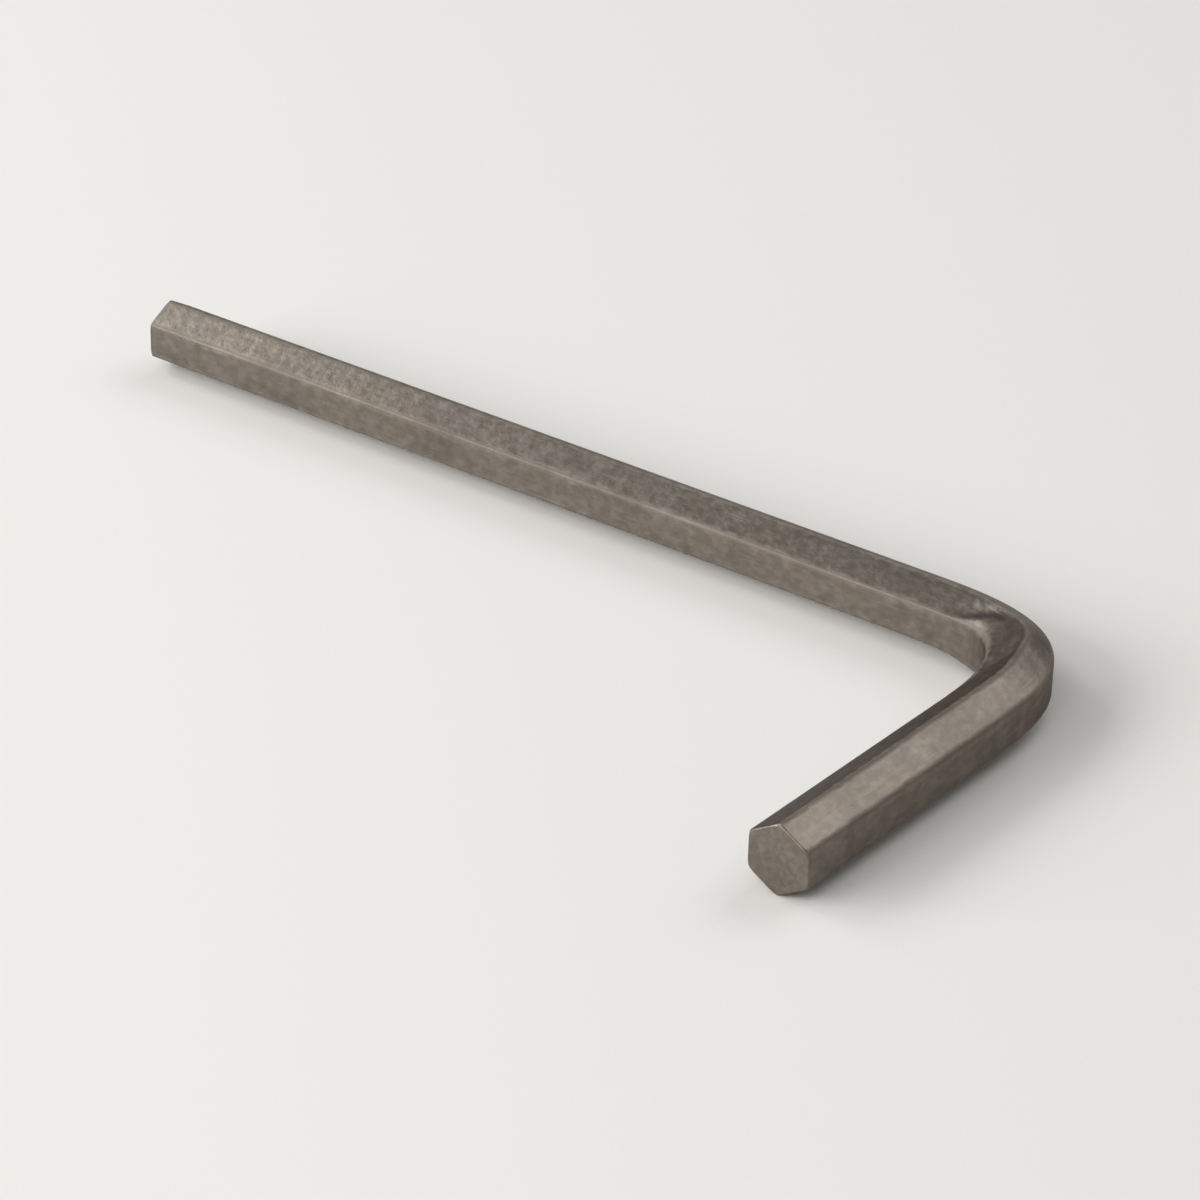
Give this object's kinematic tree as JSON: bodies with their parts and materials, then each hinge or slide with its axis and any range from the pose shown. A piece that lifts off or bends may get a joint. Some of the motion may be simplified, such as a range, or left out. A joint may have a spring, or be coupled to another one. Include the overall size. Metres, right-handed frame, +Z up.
{
  "type": "hex key",
  "caption": "L-shaped key of hexagonal steel bar, with a long and a short arm whose chamfered ends turn socket-head screws.",
  "frame": {"origin": "on the bench surface, under the middle of the key's bounding box as it lies on its side", "axes": "+Z up, square to the plane of the L; +X along the long arm, from its free end towards the bend; +Y from the short arm's free end towards the bend"},
  "size_m": [0.074, 0.0316, 0.0046],
  "materials": {
    "tool_steel": "satin, bare drawn tool steel with a warm grey oxide tone"
  },
  "bodies": {
    "root": {"hex_key": "tool_steel"}
  },
  "joints": []
}
